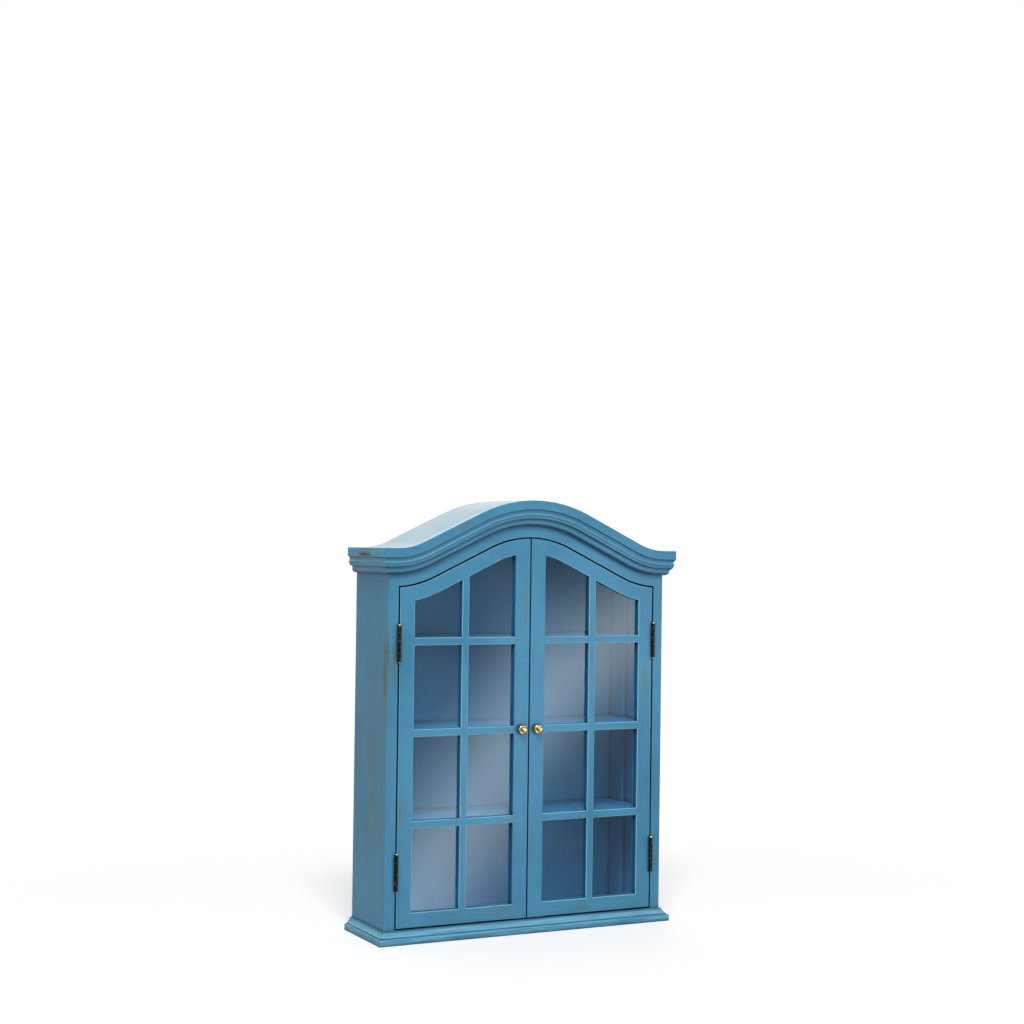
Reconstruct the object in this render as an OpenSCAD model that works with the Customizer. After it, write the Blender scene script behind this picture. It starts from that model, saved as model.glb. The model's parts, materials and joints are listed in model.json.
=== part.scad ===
/*
  Thimble display case with an ogee-arched top
  A shallow painted cabinet that stands on its base board or against a wall.
  Two glazed doors swing on exposed butt hinges in front of three fixed shelves.
  Origin: middle of the base board's underside. The doors face -Y and +Z is up.
*/

/* [Case] */
// Width over the side panels
body_w = 330; // [280:1:380]
// Depth of the side panels
body_d = 88; // [70:1:120]
// Thickness of the side panels
side_t = 11.25; // [9:0.25:16]
// Thickness of the back panel
back_t = 4; // [3:0.5:6]
// Depth of the rebate that holds the back panel in each side
back_seat = 6; // [4:0.5:8]
// Thickness of the corner post at each rear inside corner
post_t = 5; // [3:0.5:8]
// Depth of the corner posts, front to back
post_d = 26; // [15:1:35]
// Room left where one fixed wooden piece drops into another
fit = 0.1; // [0.05:0.05:0.2]

/* [Arched top] */
// Height of the door gap's centre line at both ends of the arch
spring_z = 369; // [360:1:390]
// Rise of the arch from its ends to its crown
arch_rise = 52.5; // [35:0.5:60]
// Distance from the middle to the end of the arch
arch_half = 160; // [155:1:160]
// Radius of the round at the apex and of the sweep at each end, on the gap's centre line
arch_r = 110; // [90:1:125]
// Height of the frieze that shows between the door gap and the crown moulding
frieze_h = 13.2; // [10:0.2:20]
// Thickness of the arched header board behind the frieze
header_t = 12; // [9:0.5:16]
// Thickness of the curved top panel
top_t = 4; // [3:0.5:6]

/* [Crown moulding] */
// Height of the crown moulding
crown_h = 27; // [25:0.5:32]
// How far the crown stands out from the case at its flat top band
crown_over = 11; // [9.5:0.5:16]
// Height of the flat band along the top edge
crown_band_h = 9.6; // [8:0.2:11]
// How far the middle member stands out
crown_mid_over = 8.8; // [7:0.2:9]
// Depth of the underside of the middle member, from the crown's top
crown_mid_drop = 19.6; // [18.6:0.2:20.6]
// Radius of the bead that runs along the middle member
crown_bead_r = 2; // [1:0.1:2.4]
// How far the bead stands out past the middle member
crown_bead_out = 0.9; // [0.3:0.1:1.4]
// Depth of the bead's centre line, from the crown's top
crown_bead_drop = 15.6; // [14.6:0.2:16]
// Radius of the hollow under the top band
crown_cove_r = 1.6; // [0.8:0.2:2]
// Radius of the round under the middle member
crown_mid_r = 1.4; // [0.6:0.2:1.8]
// How far the lowest member stands out
crown_low_over = 5.6; // [4.6:0.2:6.4]
// Radius of the quarter round under the lowest member
crown_low_r = 3.8; // [2:0.2:4.2]

/* [Base board] */
// Thickness of the base board
base_t = 14; // [12:0.5:18]
// How far the base board stands out at the front and the sides
base_over = 8.5; // [7.5:0.5:12]
// Height of the flat band round the bottom edge
base_band_h = 7; // [5:0.2:8]
// Radius that eases the band's upper and lower edges
base_ease_r = 0.8; // [0.3:0.1:1.2]
// Set-back of the hollow's foot behind the band
base_quirk = 2.3; // [1:0.1:3]
// Height of the short riser above the band
base_riser_h = 1.2; // [0.6:0.1:2]
// Radius of the hollow
base_cove_r = 7; // [5:0.5:12]
// How far the top of the hollow stands out from the case
base_cove_over = 2.6; // [2.2:0.1:3.5]
// Height left above the hollow for the two small fillets
base_fillet_h = 1.5; // [1:0.1:2]
// How far each small fillet stands out
base_fillet_over = 1.1; // [0.6:0.1:1.1]

/* [Shelves] */
// Thickness of the shelves
shelf_t = 6; // [4:0.5:9]
// Height of the middle shelf's centre line, also the middle glazing bars'
row_mid_z = 216.9; // [205:0.1:230]
// Distance from one shelf and row of glazing bars to the next
row_pitch = 95.1; // [85:0.1:98]
// Depth of the groove that holds each shelf end
shelf_seat = 3; // [2:0.5:5]
// Room between a shelf's front edge and the closed doors
shelf_room = 1; // [0.5:0.5:10]

/* [Doors] */
// Gap round each door and between the two
door_gap = 1.5; // [1.5:0.1:2.5]
// Thickness of the doors
door_t = 12; // [10:0.5:14]
// Width of the upright stiles
stile_w = 17.2; // [15:0.2:22]
// Width of the arched top rail, square to its curve
top_rail_w = 16; // [12:0.5:22]
// Height of the bottom rail
bottom_rail_h = 15.5; // [12:0.5:24]
// Width of the glazing bars
bar_w = 8; // [6:0.5:12]
// Depth of the glazing bars, and of the lip in front of the glass
bar_t = 4.7; // [3:0.1:6]
// Thickness of the glass
glass_t = 2; // [1.5:0.5:3]
// Width of the rebate that the glass drops into
rebate_w = 5; // [3:0.5:7]
// Room between the glass and the edge of its rebate
glass_room = 0.5; // [0.2:0.1:1]
// Set-back of the glass stops from the door's rear face
stop_inset = 1; // [0:0.5:2]

/* [Hinges] */
// Length of a hinge
hinge_l = 38; // [30:1:50]
// Distance from a door's end to the middle of the nearer hinge
hinge_inset = 58; // [40:1:70]
// Diameter of the hinge barrel
barrel_d = 3.6; // [3.2:0.1:5]
// Distance of the pin's centre line in front of the door's face
barrel_out = 1.95; // [1.9:0.05:2.8]
// Diameter of the hinge pin
pin_d = 1.8; // [1.4:0.1:2.2]
// Radial room of the pin in the knuckles
pin_room = 0.05; // [0.02:0.01:0.09]
// Number of knuckles
knuckles = 5; // [3, 5, 7]
// Room between neighbouring knuckles
knuckle_room = 0.15; // [0.1:0.05:0.3]
// Diameter of the turned tips on the pin
tip_d = 3.3; // [3:0.1:5]
// Height of each turned tip
tip_h = 1.5; // [1:0.1:3]
// Thickness of the hinge leaves
leaf_t = 0.65; // [0.5:0.05:0.7]
// Width of each leaf behind the door's face
leaf_w = 9.5; // [7:0.5:10]
// Distance between the two screws of a leaf
leaf_screw_pitch = 24; // [16:1:24]
// Diameter of a hinge screw's head
leaf_head_d = 3.6; // [3:0.1:4]
// Diameter of a hinge screw's shank
leaf_shank_d = 1.8; // [1.4:0.1:2]
// Length of a hinge screw
leaf_screw_l = 8; // [6:0.5:9]
// Width of the driving slots
slot_w = 0.5; // [0.4:0.1:0.7]

/* [Knobs] */
// How far a knob stands out from its door
knob_l = 11; // [9:0.5:16]
// Diameter of the knob's seat on the door
knob_seat_d = 9; // [7:0.5:11]
// Diameter of the knob's neck
knob_neck_d = 5.4; // [5:0.2:6.4]
// Diameter of the knob's head
knob_head_d = 10; // [9:0.5:14]
// Diameter of the raised button on the head
knob_button_d = 6; // [5:0.5:8]
// Diameter of the screw that holds a knob
knob_screw_d = 3; // [2.5:0.1:3.2]
// Diameter of that screw's head
knob_screw_head_d = 6; // [5.2:0.2:6]
// How far that screw reaches into the knob
knob_screw_reach = 7; // [4:0.5:7]

/* [Catch] */
// Width of the catch block under the middle shelf
catch_w = 32; // [28:1:44]
// Depth of the catch block
catch_d = 13; // [8:1:20]
// Height of the catch block
catch_h = 13; // [11:1:16]
// Diameter of the catch magnets
magnet_d = 8; // [5:0.5:9]
// Length of the catch magnets
magnet_l = 4; // [2:0.5:6]
// Diameter of the strike plates let into the doors
strike_d = 9; // [6:0.5:9]
// Thickness of the strike plates
strike_t = 0.8; // [0.5:0.1:1.2]
// Room between magnets and strike plates
catch_room = 0.3; // [0.2:0.1:0.6]

/* [Hidden] */

$fn = 64;

paint = [0.31, 0.57, 0.71];
pane = [0.75, 0.85, 0.9, 0.35];
brass = [0.8, 0.62, 0.3];
bronze = [0.22, 0.17, 0.12];
steel = [0.66, 0.67, 0.69];
ferrite = [0.15, 0.15, 0.16];

// Planes of the case
body_x = body_w / 2;
inner_x = body_x - side_t;
front_y = -body_d / 2;
rear_y = body_d / 2;
back_y = rear_y - back_t;
door_y = front_y + door_t;
glass_y = front_y + bar_t;
shelf_y = door_y + shelf_room;

// Heights across the arch, measured square to the gap's centre line
crown_low_d = frieze_h;
crown_top_d = frieze_h + crown_h;
panel_low_d = crown_top_d - top_t;
door_top_d = -door_gap / 2;
opening_top_d = door_top_d - top_rail_w;

// The arch is a round apex, two straight slopes and two hollow ends
apex_z = spring_z + arch_rise - arch_r;
sweep_z = spring_z + arch_r;
arch_a = asin(2 * arch_r / norm([arch_half, 2 * arch_r - arch_rise]))
  - atan2(2 * arch_r - arch_rise, arch_half);
apex_steps = 12;
sweep_steps = 4;
bead_steps = 4;
low_round_steps = 3;
small_round_steps = 2;
wide = body_x + crown_over + 10;

// Door edges, for the right-hand door
door_x0 = door_gap / 2;
door_x1 = inner_x - door_gap;
door_z0 = base_t + door_gap;
pane_x0 = door_x0 + stile_w;
pane_x1 = door_x1 - stile_w;
pane_z0 = door_z0 + bottom_rail_h;
pane_mid_x = (pane_x0 + pane_x1) / 2;
stile_mid_x = door_x0 + stile_w / 2;
row_zs = [row_mid_z - row_pitch, row_mid_z, row_mid_z + row_pitch];

// Hinge line, for the right-hand door
pin_x = inner_x - door_gap / 2;
pin_y = front_y - barrel_out;
hinge_zs = [spring_z - door_gap / 2 - hinge_inset, door_z0 + hinge_inset];
knuckle_l = hinge_l / knuckles;
leaf_screw_y = front_y + leaf_w / 2;

// Catch line, just under the middle shelf
magnet_drop = 0.5;
catch_z = row_mid_z - shelf_t / 2 - catch_h;
magnet_z = catch_z + catch_h / 2 - magnet_drop;

// Turned profile of a knob
knob_seat_h = 1.4;
knob_neck_hollow_d = 5.2;
knob_neck_flare = 0.8;
knob_head_h = 3;
knob_button_h = 1.2;
knob_screw_room = 0.5;

// Shared shapes

// Region under a curve that runs parallel to the arch at distance d above it
module under_arch(d) {
  top_x = (arch_r + d) * sin(arch_a);
  top_z = apex_z + (arch_r + d) * cos(arch_a);
  end_x = arch_half - (arch_r - d) * sin(arch_a);
  end_z = sweep_z - (arch_r - d) * cos(arch_a);
  difference() {
    union() {
      polygon([
        [-wide, 0], [wide, 0],
        [wide, spring_z + d], [arch_half, spring_z + d], [end_x, end_z], [top_x, top_z],
        [-top_x, top_z], [-end_x, end_z], [-arch_half, spring_z + d], [-wide, spring_z + d]
      ]);
      intersection() {
        translate([0, apex_z]) circle(r = arch_r + d, $fn = 180);
        translate([-top_x, top_z]) square([2 * top_x, arch_r]);
      }
    }
    for (s = [-1, 1])
      translate([s * arch_half, sweep_z]) circle(r = arch_r - d, $fn = 180);
  }
}

// A board in the XZ plane, from depth y0 to depth y1
module board(y0, y1) {
  translate([0, y1, 0]) rotate([90, 0, 0]) linear_extrude(y1 - y0) children();
}

// A flat outline from (x0, z0) to (x1, z1)
module span(x0, x1, z0, z1) {
  translate([x0, z0]) square([x1 - x0, z1 - z0]);
}

// The part of an outline under the arch at distance d, between x0 and x1 and above z0
module under_span(d, x0, x1, z0) {
  intersection() {
    under_arch(d);
    span(x0, x1, z0, spring_z + arch_rise + arch_r);
  }
}

// A round bar or bore along +Y from y
module bar_y(x, y, z, d, l) {
  translate([x, y, z]) rotate([-90, 0, 0]) cylinder(d = d, h = l);
}

// A countersunk slotted screw along +Z with its head's face at 0
module screw(head_d, shank_d, l) {
  head_h = (head_d - shank_d) / 2;
  difference() {
    union() {
      cylinder(d1 = head_d, d2 = shank_d, h = head_h);
      cylinder(d = shank_d, h = l);
    }
    translate([-head_d, -slot_w / 2, -1]) cube([2 * head_d, slot_w, 1 + head_h / 2]);
  }
}

// The hole that such a screw fills
module screw_hole(head_d, shank_d, l) {
  head_h = (head_d - shank_d) / 2;
  cylinder(d1 = head_d, d2 = shank_d, h = head_h);
  cylinder(d = shank_d, h = l);
}

// Crown moulding

// Points on an arc of radius r about c, from angle a0 to a1 in n steps
function arc(c, r, a0, a1, n) =
  [for (i = [0 : n]) c + r * [cos(a0 + (a1 - a0) * i / n), sin(a0 + (a1 - a0) * i / n)]];

// Section of the crown: x is the distance above the gap's centre line, y is the overhang
function crown_section() =
  let (
    mid_x = crown_top_d - crown_mid_drop,
    band_x = crown_top_d - crown_band_h,
    bead = [crown_top_d - crown_bead_drop, crown_mid_over + crown_bead_out - crown_bead_r],
    bead_a = asin((crown_bead_r - crown_bead_out) / crown_bead_r)
  )
  concat(
    [[crown_low_d, 0]],
    arc([crown_low_d + crown_low_r, crown_low_over - crown_low_r], crown_low_r, 180, 90,
      low_round_steps),
    [[mid_x, crown_low_over]],
    arc([mid_x + crown_mid_r, crown_mid_over - crown_mid_r], crown_mid_r, 180, 90,
      small_round_steps),
    arc(bead, crown_bead_r, 180 - bead_a, bead_a, bead_steps),
    arc([band_x - crown_cove_r, crown_mid_over + crown_cove_r], crown_cove_r, -90, 0,
      small_round_steps),
    [[band_x, crown_over], [crown_top_d, crown_over], [crown_top_d, 0]]
  );

// Stations along the arch from left to right: x, z and slope of the gap's centre line
function arch_stations() =
  concat(
    [for (i = [0 : sweep_steps]) let (t = -arch_a * i / sweep_steps)
      [-arch_half - arch_r * sin(t), sweep_z - arch_r * cos(t), t]],
    [for (i = [0 : apex_steps]) let (t = arch_a * (2 * i / apex_steps - 1))
      [arch_r * sin(t), apex_z + arch_r * cos(t), t]],
    [for (i = [0 : sweep_steps]) let (t = arch_a * (1 - i / sweep_steps))
      [arch_half - arch_r * sin(t), sweep_z - arch_r * cos(t), t]]
  );

// The crown's section carried along the arch, with a mitred ring at each end
module crown_front() {
  section = crown_section();
  n = len(section);
  mitre = function (side)
    [for (q = section) [side * (body_x + q.y), front_y - q.y, spring_z + q.x]];
  rings = concat(
    [mitre(-1)],
    [for (s = arch_stations())
      [for (q = section) [s.x + q.x * sin(s.z), front_y - q.y, s.y + q.x * cos(s.z)]]],
    [mitre(1)]
  );
  last = len(rings) - 1;
  color(paint) polyhedron(
    points = [for (ring = rings) each ring],
    faces = concat(
      [[for (j = [n - 1 : -1 : 0]) j]],
      [for (i = [0 : last - 1], j = [0 : n - 1])
        let (k = (j + 1) % n) [i * n + j, i * n + k, (i + 1) * n + k, (i + 1) * n + j]],
      [[for (j = [0 : n - 1]) last * n + j]]
    )
  );
}

module crown_return() {
  color(paint) intersection() {
    translate([body_x, front_y - crown_over, spring_z])
      rotate([-90, -90, 0]) linear_extrude(body_d + crown_over) polygon(crown_section());
    linear_extrude(2 * spring_z) polygon([
      [body_x, front_y], [body_x + wide, front_y - wide], [body_x + wide, rear_y], [body_x, rear_y]
    ]);
  }
}

// Case

// Moulded edge of the base board: x is the overhang, y is the height
module base_edge() {
  foot = [base_over - base_quirk, base_band_h + base_riser_h];
  head = [base_cove_over, base_t - base_fillet_h];
  mid = (foot + head) / 2;
  half = norm(foot - head) / 2;
  out = sqrt(base_cove_r * base_cove_r - half * half);
  difference() {
    translate([-1, 0]) square([base_over + 1, base_band_h]);
    for (m = [0, 1])
      translate([base_over, m * base_band_h]) rotate([0, 0, 90 + 90 * m]) band_ease();
  }
  difference() {
    polygon([[-1, 0], [foot.x, 0], foot, head, [-1, head.y]]);
    translate(mid + [head.y - foot.y, foot.x - head.x] * out / (2 * half))
      circle(r = base_cove_r, $fn = 72);
  }
  translate([-1, 0]) square([1 + 2 * base_fillet_over, base_t - base_fillet_h / 2]);
  translate([-1, 0]) square([1 + base_fillet_over, base_t]);
}

// What easing takes off a square corner that fills the quadrant x > 0, y > 0
module band_ease() {
  difference() {
    translate([-1, -1]) square(base_ease_r + 1);
    translate([base_ease_r, base_ease_r]) circle(r = base_ease_r, $fn = 32);
  }
}

module base_board() {
  color(paint) intersection() {
    board(front_y - 2 * base_over, rear_y) union() {
      span(-body_x, body_x, 0, base_t);
      for (m = [0, 1]) mirror([m, 0]) translate([body_x, 0]) base_edge();
    }
    translate([-wide, 0, 0]) rotate([90, 0, 90]) linear_extrude(2 * wide) union() {
      span(front_y, rear_y, 0, base_t);
      translate([front_y, 0]) mirror([1, 0]) base_edge();
    }
  }
}

module side() {
  color(paint) difference() {
    board(front_y, rear_y) under_span(panel_low_d, inner_x, body_x, base_t);
    translate([inner_x - 1, back_y, base_t - 1])
      cube([back_seat + 1, back_t + 1, 2 * spring_z]);
    for (z = row_zs)
      translate([inner_x - 1, shelf_y - fit, z - shelf_t / 2 - fit])
        cube([shelf_seat + fit + 1, back_y - shelf_y + 2 * fit, shelf_t + 2 * fit]);
    for (z = hinge_zs) leaf_screws_at(z, 1) screw_hole(leaf_head_d, leaf_shank_d, leaf_screw_l);
  }
}

module back_panel() {
  x = inner_x + back_seat - fit;
  color(paint) board(back_y, rear_y) under_span(panel_low_d, -x, x, base_t);
}

module rear_post() {
  color(paint) board(back_y - post_d, back_y)
    under_span(panel_low_d, inner_x - post_t, inner_x, base_t);
}

module arch_header() {
  color(paint) board(front_y, front_y + header_t) difference() {
    under_span(panel_low_d, -inner_x, inner_x, spring_z / 2);
    under_arch(door_gap / 2);
  }
}

module top_panel() {
  color(paint) board(front_y, rear_y) difference() {
    under_span(crown_top_d, -body_x, body_x, spring_z);
    under_arch(panel_low_d);
  }
}

module shelf(z) {
  x = inner_x + shelf_seat;
  color(paint) difference() {
    translate([-x, shelf_y, z - shelf_t / 2]) cube([2 * x, back_y - shelf_y, shelf_t]);
    for (m = [0, 1]) mirror([m, 0, 0])
      translate([inner_x - post_t - fit, back_y - post_d - fit, z - shelf_t])
        cube([post_t + 2 * fit + shelf_seat, post_d + 2 * fit, 2 * shelf_t]);
  }
}

// Catch

module catch_block() {
  color(paint) difference() {
    translate([-catch_w / 2, door_y + catch_room, catch_z]) cube([catch_w, catch_d, catch_h]);
    for (s = [-1, 1])
      bar_y(s * stile_mid_x, door_y, magnet_z, magnet_d, catch_room + magnet_l);
  }
}

module catch_magnets() {
  color(ferrite) for (s = [-1, 1])
    bar_y(s * stile_mid_x, door_y + catch_room, magnet_z, magnet_d, magnet_l);
}

module strike_plate() {
  color(steel) bar_y(stile_mid_x, door_y - strike_t, magnet_z, strike_d, strike_t);
}

// Hinges

// Places a screw at each of a leaf's holes: out = 1 for the case side, -1 for the door
module leaf_screws_at(z, out) {
  face_x = out > 0 ? inner_x - leaf_t : door_x1 + leaf_t;
  for (s = [-1, 1])
    translate([face_x, leaf_screw_y, z + s * leaf_screw_pitch / 2])
      rotate([0, 90 * out, 0]) children();
}

// Barrel lengths of one leaf: odd = 0 takes the outer knuckles, odd = 1 the others
module knuckle_row(odd, d, room) {
  for (k = [odd : 2 : knuckles - 1])
    translate([pin_x, pin_y, (k - knuckles / 2) * knuckle_l + room])
      cylinder(d = d, h = knuckle_l - 2 * room);
}

module hinge_leaf(z, out) {
  odd = out > 0 ? 0 : 1;
  x = out > 0 ? inner_x - leaf_t : door_x1;
  color(bronze) difference() {
    translate([0, 0, z]) difference() {
      union() {
        translate([x, pin_y, -hinge_l / 2]) cube([leaf_t, front_y + leaf_w - pin_y, hinge_l]);
        knuckle_row(odd, barrel_d, knuckle_room / 2);
      }
      knuckle_row(1 - odd, barrel_d + 2 * knuckle_room, -knuckle_room / 2);
      translate([pin_x, pin_y, -hinge_l])
        cylinder(d = pin_d + 2 * pin_room, h = 2 * hinge_l);
    }
    leaf_screws_at(z, out) screw_hole(leaf_head_d, leaf_shank_d, leaf_screw_l);
  }
}

module hinge_pin(z) {
  half = hinge_l / 2 - knuckle_room / 2;
  color(brass) translate([pin_x, pin_y, z]) {
    translate([0, 0, -half]) cylinder(d = pin_d, h = 2 * half);
    for (m = [0, 1]) mirror([0, 0, m]) translate([0, 0, half]) rotate_extrude($fn = 40)
      pin_tip_section();
  }
}

// Half section of a pin's tip: a collar with a domed end
module pin_tip_section() {
  dome = tip_d / 2;
  intersection() {
    translate([0, tip_h - dome]) circle(r = dome, $fn = 40);
    square([dome, tip_h]);
  }
}

module hinge_screws(out) {
  color(bronze) for (z = hinge_zs)
    leaf_screws_at(z, out) screw(leaf_head_d, leaf_shank_d, leaf_screw_l);
}

// Doors, drawn for the right-hand side

// The rebate behind the lip of the glazed opening, as an outline
module rebate_outline(room) {
  under_span(opening_top_d + rebate_w - room,
    pane_x0 - rebate_w + room, pane_x1 + rebate_w - room, pane_z0 - rebate_w + room);
}

module glass_rebate() {
  board(glass_y, door_y + 1) rebate_outline(0);
}

module hinge_stile() {
  color(paint) difference() {
    board(front_y, door_y) under_span(door_top_d, pane_x1, door_x1, door_z0);
    glass_rebate();
    for (z = hinge_zs) leaf_screws_at(z, -1) screw_hole(leaf_head_d, leaf_shank_d, leaf_screw_l);
  }
}

module meeting_stile() {
  color(paint) difference() {
    board(front_y, door_y) under_span(door_top_d, door_x0, pane_x0, door_z0);
    glass_rebate();
    knob_screw_place() screw_hole(knob_screw_head_d, knob_screw_d, door_t + 1);
    bar_y(stile_mid_x, door_y - strike_t, magnet_z, strike_d, strike_t + 1);
  }
}

module top_rail() {
  color(paint) difference() {
    board(front_y, door_y) difference() {
      under_span(door_top_d, pane_x0, pane_x1, spring_z / 2);
      under_arch(opening_top_d);
    }
    glass_rebate();
  }
}

module bottom_rail() {
  color(paint) difference() {
    board(front_y, door_y) span(pane_x0, pane_x1, door_z0, pane_z0);
    glass_rebate();
  }
}

module upright_bar() {
  color(paint) board(front_y, glass_y)
    under_span(opening_top_d, pane_mid_x - bar_w / 2, pane_mid_x + bar_w / 2, pane_z0);
}

module cross_bars() {
  color(paint) board(front_y, glass_y)
    for (z = row_zs) {
      span(pane_x0, pane_mid_x - bar_w / 2, z - bar_w / 2, z + bar_w / 2);
      span(pane_mid_x + bar_w / 2, pane_x1, z - bar_w / 2, z + bar_w / 2);
    }
}

module glass() {
  color(pane) board(glass_y, glass_y + glass_t) rebate_outline(glass_room);
}

module glass_stops() {
  color(paint) board(glass_y + glass_t, door_y - stop_inset) {
    intersection() {
      rebate_outline(0);
      span(pane_x0 - rebate_w, pane_x0, 0, 2 * spring_z);
    }
    intersection() {
      rebate_outline(0);
      span(pane_x1, pane_x1 + rebate_w, 0, 2 * spring_z);
    }
    span(pane_x0 + fit, pane_x1 - fit, pane_z0 - rebate_w, pane_z0);
    difference() {
      under_span(opening_top_d + rebate_w, pane_x0 + fit, pane_x1 - fit, spring_z / 2);
      under_arch(opening_top_d);
    }
  }
}

// Knobs

module knob_screw_place() {
  translate([stile_mid_x, door_y, row_mid_z]) rotate([90, 0, 0]) children();
}

// Half section of the knob: y is the distance from the door's face
module knob_section() {
  head_z = knob_l - knob_button_h - knob_head_h;
  square([knob_seat_d / 2 - knob_seat_h / 2, knob_seat_h]);
  translate([knob_seat_d / 2 - knob_seat_h / 2, knob_seat_h / 2])
    circle(d = knob_seat_h, $fn = 32);
  difference() {
    square([knob_neck_d / 2 + knob_neck_flare, head_z]);
    translate([(knob_neck_d + knob_neck_hollow_d) / 2, (knob_seat_h + head_z) / 2])
      circle(d = knob_neck_hollow_d, $fn = 48);
  }
  translate([0, head_z]) square([(knob_head_d - knob_head_h) / 2, knob_head_h]);
  translate([(knob_head_d - knob_head_h) / 2, head_z + knob_head_h / 2])
    circle(d = knob_head_h, $fn = 40);
  square([(knob_button_d - knob_button_h) / 2, knob_l]);
  translate([(knob_button_d - knob_button_h) / 2, knob_l - knob_button_h / 2])
    circle(d = knob_button_h, $fn = 32);
}

module knob() {
  color(brass) translate([stile_mid_x, front_y, row_mid_z]) rotate([90, 0, 0]) difference() {
    rotate_extrude($fn = 64) intersection() {
      knob_section();
      square([knob_head_d, knob_l]);
    }
    translate([0, 0, -1]) cylinder(d = knob_screw_d, h = 1 + knob_screw_reach);
  }
}

module knob_screw() {
  color(steel) knob_screw_place()
    screw(knob_screw_head_d, knob_screw_d, door_t + knob_screw_reach - knob_screw_room);
}

module left() {
  mirror([1, 0, 0]) children();
}

base_board();
left() side();  // left_side
side();  // right_side
back_panel();
left() rear_post();  // left_rear_post
rear_post();  // right_rear_post
arch_header();
top_panel();
crown_front();
left() crown_return();  // left_crown_return
crown_return();  // right_crown_return
shelf(row_zs[2]);  // upper_shelf
shelf(row_zs[1]);  // middle_shelf
shelf(row_zs[0]);  // lower_shelf
catch_block();
catch_magnets();
left() hinge_leaf(hinge_zs[0], 1);  // left_upper_frame_leaf
left() hinge_leaf(hinge_zs[1], 1);  // left_lower_frame_leaf
hinge_leaf(hinge_zs[0], 1);  // right_upper_frame_leaf
hinge_leaf(hinge_zs[1], 1);  // right_lower_frame_leaf
left() hinge_pin(hinge_zs[0]);  // left_upper_hinge_pin
left() hinge_pin(hinge_zs[1]);  // left_lower_hinge_pin
hinge_pin(hinge_zs[0]);  // right_upper_hinge_pin
hinge_pin(hinge_zs[1]);  // right_lower_hinge_pin
left() hinge_screws(1);  // left_frame_hinge_screws
hinge_screws(1);  // right_frame_hinge_screws
left() hinge_stile();  // left_hinge_stile
left() meeting_stile();  // left_meeting_stile
left() top_rail();  // left_top_rail
left() bottom_rail();  // left_bottom_rail
left() upright_bar();  // left_upright_bar
left() cross_bars();  // left_cross_bars
left() glass();  // left_glass
left() glass_stops();  // left_glass_stops
left() knob();  // left_knob
left() knob_screw();  // left_knob_screw
left() strike_plate();  // left_strike_plate
left() hinge_leaf(hinge_zs[0], -1);  // left_upper_door_leaf
left() hinge_leaf(hinge_zs[1], -1);  // left_lower_door_leaf
left() hinge_screws(-1);  // left_door_hinge_screws
hinge_stile();  // right_hinge_stile
meeting_stile();  // right_meeting_stile
top_rail();  // right_top_rail
bottom_rail();  // right_bottom_rail
upright_bar();  // right_upright_bar
cross_bars();  // right_cross_bars
glass();  // right_glass
glass_stops();  // right_glass_stops
knob();  // right_knob
knob_screw();  // right_knob_screw
strike_plate();  // right_strike_plate
hinge_leaf(hinge_zs[0], -1);  // right_upper_door_leaf
hinge_leaf(hinge_zs[1], -1);  // right_lower_door_leaf
hinge_screws(-1);  // right_door_hinge_screws
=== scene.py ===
import json
import math

import bmesh
import bpy
from mathutils import Matrix, Vector
from mathutils.bvhtree import BVHTree


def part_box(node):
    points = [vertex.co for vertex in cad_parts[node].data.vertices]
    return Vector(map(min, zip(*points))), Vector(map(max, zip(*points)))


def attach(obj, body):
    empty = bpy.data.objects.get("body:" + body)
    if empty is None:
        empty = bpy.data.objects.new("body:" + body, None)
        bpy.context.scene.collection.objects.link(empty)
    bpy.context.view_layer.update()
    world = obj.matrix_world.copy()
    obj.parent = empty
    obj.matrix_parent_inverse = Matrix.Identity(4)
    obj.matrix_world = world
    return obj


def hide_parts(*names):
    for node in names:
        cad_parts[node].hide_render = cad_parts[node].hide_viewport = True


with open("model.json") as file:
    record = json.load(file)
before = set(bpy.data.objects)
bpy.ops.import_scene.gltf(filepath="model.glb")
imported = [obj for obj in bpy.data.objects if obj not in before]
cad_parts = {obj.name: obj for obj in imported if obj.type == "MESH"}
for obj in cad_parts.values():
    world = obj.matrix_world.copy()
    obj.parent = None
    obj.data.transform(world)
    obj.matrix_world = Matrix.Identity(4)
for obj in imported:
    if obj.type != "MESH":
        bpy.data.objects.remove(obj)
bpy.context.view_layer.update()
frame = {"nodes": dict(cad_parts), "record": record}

MM = 0.001

# Camera: where it stands and how it looks, worked out from the case's corners
VIEW_PLACE = Vector((-0.9258, -1.8198, 0.4164))
VIEW_TURN = math.radians(26.932)
VIEW_PITCH = math.radians(0.937)
VIEW_ROLL = math.radians(0.749)
VIEW_LENS = 65.6
SENSOR = 36.0

# Middle of the case, where the lamps point
MIDDLE = Vector((0.0, 0.0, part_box("crown_front")[1].z / 2))

# Pieces whose arrises are eased, with the width that the easing takes off
EASED = {
    "base_board": 0.5 * MM,
    "left_side": 0.7 * MM,
    "right_side": 0.7 * MM,
    "back_panel": 0.3 * MM,
    "left_rear_post": 0.4 * MM,
    "right_rear_post": 0.4 * MM,
    "arch_header": 0.6 * MM,
    "top_panel": 0.3 * MM,
    "crown_front": 0.4 * MM,
    "left_crown_return": 0.4 * MM,
    "right_crown_return": 0.4 * MM,
    "upper_shelf": 0.6 * MM,
    "middle_shelf": 0.6 * MM,
    "lower_shelf": 0.6 * MM,
    "catch_block": 0.5 * MM,
}
DOOR_EASED = {
    "hinge_stile": 0.7 * MM,
    "meeting_stile": 0.7 * MM,
    "top_rail": 0.7 * MM,
    "bottom_rail": 0.7 * MM,
    "upright_bar": 0.7 * MM,
    "cross_bars": 0.7 * MM,
    "glass_stops": 0.3 * MM,
}
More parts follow.
